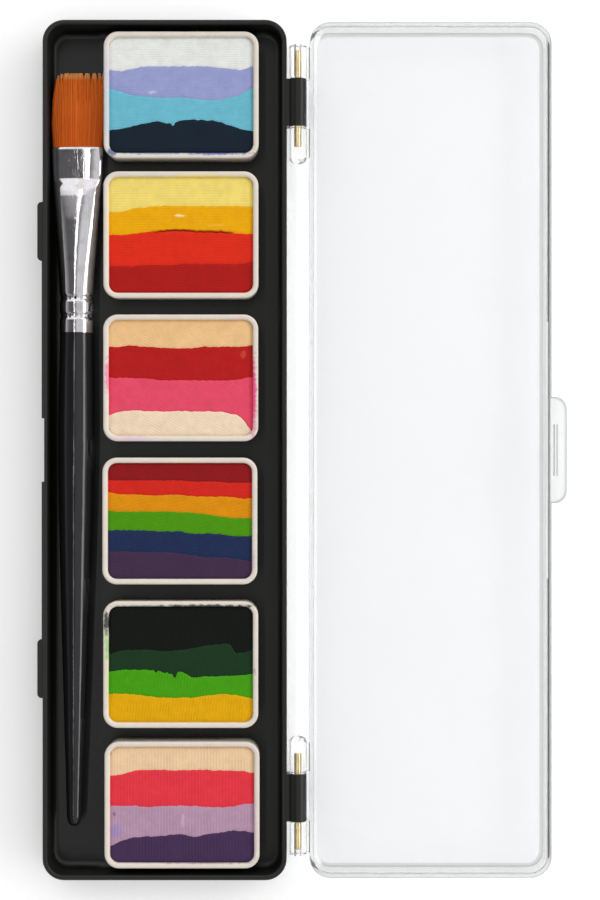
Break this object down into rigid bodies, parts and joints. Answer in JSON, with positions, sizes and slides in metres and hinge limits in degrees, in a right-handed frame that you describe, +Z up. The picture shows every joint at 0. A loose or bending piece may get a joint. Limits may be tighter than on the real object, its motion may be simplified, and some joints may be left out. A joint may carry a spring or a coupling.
{
  "type": "split cake watercolour palette",
  "caption": "Black tray of white paint pans, each with striped watercolour cakes, and a flat brush, under a clear hinged lid with a latch.",
  "frame": {"origin": "centre of the tray's flat underside", "axes": "+Y along the tray towards the bristles, +X from the brush side to the hinge and the opened lid, +Z up"},
  "size_m": [0.1237, 0.2002, 0.0115],
  "materials": {
    "tray_plastic": "satin moulded black",
    "clear_plastic": "clear polished moulding",
    "pin_brass": "drawn wire",
    "pan_plastic": "satin off-white",
    "handle_lacquer": "gloss black lacquer",
    "ferrule_metal": "polished",
    "bristle_filament": "orange-brown synthetic filament",
    "paint_mint_white": "pressed dry paint, matt",
    "paint_lavender": "pressed dry paint, matt",
    "paint_sky_blue": "pressed dry paint, matt",
    "paint_navy": "pressed dry paint, matt",
    "paint_pale_yellow": "pressed dry paint, matt",
    "paint_golden_orange": "pressed dry paint, matt",
    "paint_orange_red": "pressed dry paint, matt",
    "paint_crimson": "pressed dry paint, matt",
    "paint_peach": "pressed dry paint, matt",
    "paint_pink": "pressed dry paint, matt",
    "paint_pale_beige": "pressed dry paint, matt",
    "paint_dark_crimson": "pressed dry paint, matt",
    "paint_red": "pressed dry paint, matt",
    "paint_orange": "pressed dry paint, matt",
    "paint_green": "pressed dry paint, matt",
    "paint_blue": "pressed dry paint, matt",
    "paint_purple": "pressed dry paint, matt",
    "paint_black": "pressed dry paint, matt",
    "paint_dark_green": "pressed dry paint, matt",
    "paint_bright_green": "pressed dry paint, matt",
    "paint_golden_yellow": "pressed dry paint, matt",
    "paint_coral_red": "pressed dry paint, matt",
    "paint_lilac": "pressed dry paint, matt",
    "paint_deep_purple": "pressed dry paint, matt"
  },
  "bodies": {
    "tray": {"base_tray": "tray_plastic"},
    "lid": {"lid": "clear_plastic", "upper_hinge_pin": "pin_brass", "lower_hinge_pin": "pin_brass"},
    "pan_1": {"pan_1": "pan_plastic", "cake_1_mint_white": "paint_mint_white", "cake_1_lavender": "paint_lavender", "cake_1_sky_blue": "paint_sky_blue", "cake_1_navy": "paint_navy"},
    "pan_2": {"pan_2": "pan_plastic", "cake_2_pale_yellow": "paint_pale_yellow", "cake_2_golden_orange": "paint_golden_orange", "cake_2_orange_red": "paint_orange_red", "cake_2_crimson": "paint_crimson"},
    "pan_3": {"pan_3": "pan_plastic", "cake_3_peach": "paint_peach", "cake_3_crimson": "paint_crimson", "cake_3_pink": "paint_pink", "cake_3_pale_beige": "paint_pale_beige"},
    "pan_4": {"pan_4": "pan_plastic", "cake_4_dark_crimson": "paint_dark_crimson", "cake_4_red": "paint_red", "cake_4_orange": "paint_orange", "cake_4_green": "paint_green", "cake_4_blue": "paint_blue", "cake_4_purple": "paint_purple"},
    "pan_5": {"pan_5": "pan_plastic", "cake_5_black": "paint_black", "cake_5_dark_green": "paint_dark_green", "cake_5_bright_green": "paint_bright_green", "cake_5_golden_yellow": "paint_golden_yellow"},
    "pan_6": {"pan_6": "pan_plastic", "cake_6_peach": "paint_peach", "cake_6_coral_red": "paint_coral_red", "cake_6_lilac": "paint_lilac", "cake_6_deep_purple": "paint_deep_purple"},
    "brush": {"brush_handle": "handle_lacquer", "brush_ferrule": "ferrule_metal", "brush_bristles": "bristle_filament"}
  },
  "joints": [
    {"name": "lid_hinge", "type": "hinge", "parent": "tray", "child": "lid", "pos_m": [0.031, 0, 0.00948], "axis": [0, 1, 0], "range_deg": [-180, 0]},
    {"name": "pan_1_lift", "type": "slide", "parent": "tray", "child": "pan_1", "axis": [0, 0, 1], "range_m": [0, 0.03]},
    {"name": "pan_2_lift", "type": "slide", "parent": "tray", "child": "pan_2", "axis": [0, 0, 1], "range_m": [0, 0.03]},
    {"name": "pan_3_lift", "type": "slide", "parent": "tray", "child": "pan_3", "axis": [0, 0, 1], "range_m": [0, 0.03]},
    {"name": "pan_4_lift", "type": "slide", "parent": "tray", "child": "pan_4", "axis": [0, 0, 1], "range_m": [0, 0.03]},
    {"name": "pan_5_lift", "type": "slide", "parent": "tray", "child": "pan_5", "axis": [0, 0, 1], "range_m": [0, 0.03]},
    {"name": "pan_6_lift", "type": "slide", "parent": "tray", "child": "pan_6", "axis": [0, 0, 1], "range_m": [0, 0.03]},
    {"name": "brush_lift", "type": "slide", "parent": "tray", "child": "brush", "axis": [0, 0, 1], "range_m": [0, 0.03]}
  ]
}
